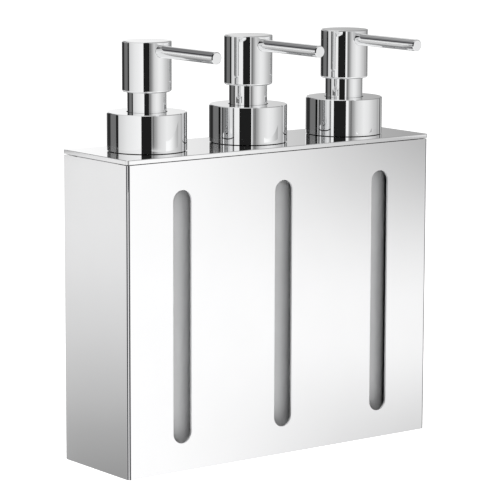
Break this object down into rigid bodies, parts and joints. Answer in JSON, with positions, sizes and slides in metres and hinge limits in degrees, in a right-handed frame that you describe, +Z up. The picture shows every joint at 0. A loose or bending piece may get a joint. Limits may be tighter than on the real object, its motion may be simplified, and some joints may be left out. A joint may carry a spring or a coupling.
{
  "type": "wall mounted soap dispenser",
  "caption": "Wall mounted soap dispenser: slotted metal housing with lift-off lid, hanging bottles and push-down pump heads with straight swivelling spouts.",
  "frame": {"origin": "middle of the four wall-fixing holes, on the wall plane", "axes": "+X to the right seen from the front, +Y into the wall, +Z up"},
  "size_m": [0.2006, 0.0882, 0.2226],
  "materials": {
    "polished_sheet": "mirror-polished stainless sheet",
    "plain_sheet": "mill-finish stainless sheet",
    "bright_plate": "bright chrome plating",
    "bottle_plastic": "natural translucent plastic",
    "natural_plastic": "natural moulded plastic",
    "white_plastic": "white moulded plastic",
    "seal_rubber": "soft black rubber",
    "spring_steel": "drawn wire",
    "ball_steel": "ground ball"
  },
  "bodies": {
    "housing": {"front_shell": "polished_sheet", "back_panel": "plain_sheet", "bottom_plate": "plain_sheet"},
    "lid_unit": {"lid": "polished_sheet", "lid_guide_left": "plain_sheet", "lid_guide_right": "plain_sheet", "bottle_left": "bottle_plastic", "bottle_middle": "bottle_plastic", "bottle_right": "bottle_plastic"},
    "pump_left": {"collar_shell_left": "bright_plate", "collar_nut_left": "white_plastic", "neck_gasket_left": "seal_rubber", "pump_cylinder_left": "natural_plastic", "dip_tube_left": "natural_plastic", "guide_sleeve_left": "bright_plate", "guide_bush_left": "white_plastic", "return_spring_left": "spring_steel"},
    "plunger_left": {"stem_left": "natural_plastic", "piston_seal_left": "seal_rubber"},
    "head_left": {"head_shell_left": "bright_plate", "head_insert_left": "white_plastic", "spout_tube_left": "bright_plate"},
    "ball_left": {"inlet_ball_left": "ball_steel"},
    "pump_middle": {"collar_shell_middle": "bright_plate", "collar_nut_middle": "white_plastic", "neck_gasket_middle": "seal_rubber", "pump_cylinder_middle": "natural_plastic", "dip_tube_middle": "natural_plastic", "guide_sleeve_middle": "bright_plate", "guide_bush_middle": "white_plastic", "return_spring_middle": "spring_steel"},
    "plunger_middle": {"stem_middle": "natural_plastic", "piston_seal_middle": "seal_rubber"},
    "head_middle": {"head_shell_middle": "bright_plate", "head_insert_middle": "white_plastic", "spout_tube_middle": "bright_plate"},
    "ball_middle": {"inlet_ball_middle": "ball_steel"},
    "pump_right": {"collar_shell_right": "bright_plate", "collar_nut_right": "white_plastic", "neck_gasket_right": "seal_rubber", "pump_cylinder_right": "natural_plastic", "dip_tube_right": "natural_plastic", "guide_sleeve_right": "bright_plate", "guide_bush_right": "white_plastic", "return_spring_right": "spring_steel"},
    "plunger_right": {"stem_right": "natural_plastic", "piston_seal_right": "seal_rubber"},
    "head_right": {"head_shell_right": "bright_plate", "head_insert_right": "white_plastic", "spout_tube_right": "bright_plate"},
    "ball_right": {"inlet_ball_right": "ball_steel"}
  },
  "joints": [
    {"name": "lid_lift", "type": "slide", "parent": "housing", "child": "lid_unit", "axis": [0, 0, 1], "range_m": [0, 0.175]},
    {"name": "pump_out_left", "type": "slide", "parent": "lid_unit", "child": "pump_left", "axis": [0, 0, 1], "range_m": [0, 0.175]},
    {"name": "press_left", "type": "slide", "parent": "pump_left", "child": "plunger_left", "axis": [0, 0, -1], "range_m": [0, 0.01], "stiffness_N_per_m": 600, "springref_m": -0.01, "deforming": ["return_spring_left"]},
    {"name": "swivel_left", "type": "hinge", "parent": "plunger_left", "child": "head_left", "pos_m": [-0.066, -0.027, 0.13], "axis": [0, 0, 1], "range_deg": [-110, 25]},
    {"name": "valve_left", "type": "slide", "parent": "pump_left", "child": "ball_left", "axis": [0, 0, 1], "range_m": [0, 0.0015]},
    {"name": "pump_out_middle", "type": "slide", "parent": "lid_unit", "child": "pump_middle", "axis": [0, 0, 1], "range_m": [0, 0.175]},
    {"name": "press_middle", "type": "slide", "parent": "pump_middle", "child": "plunger_middle", "axis": [0, 0, -1], "range_m": [0, 0.01], "stiffness_N_per_m": 600, "springref_m": -0.01, "deforming": ["return_spring_middle"]},
    {"name": "swivel_middle", "type": "hinge", "parent": "plunger_middle", "child": "head_middle", "pos_m": [0, -0.027, 0.13], "axis": [0, 0, 1], "range_deg": [-25, 25]},
    {"name": "valve_middle", "type": "slide", "parent": "pump_middle", "child": "ball_middle", "axis": [0, 0, 1], "range_m": [0, 0.0015]},
    {"name": "pump_out_right", "type": "slide", "parent": "lid_unit", "child": "pump_right", "axis": [0, 0, 1], "range_m": [0, 0.175]},
    {"name": "press_right", "type": "slide", "parent": "pump_right", "child": "plunger_right", "axis": [0, 0, -1], "range_m": [0, 0.01], "stiffness_N_per_m": 600, "springref_m": -0.01, "deforming": ["return_spring_right"]},
    {"name": "swivel_right", "type": "hinge", "parent": "plunger_right", "child": "head_right", "pos_m": [0.066, -0.027, 0.13], "axis": [0, 0, 1], "range_deg": [-25, 110]},
    {"name": "valve_right", "type": "slide", "parent": "pump_right", "child": "ball_right", "axis": [0, 0, 1], "range_m": [0, 0.0015]}
  ]
}
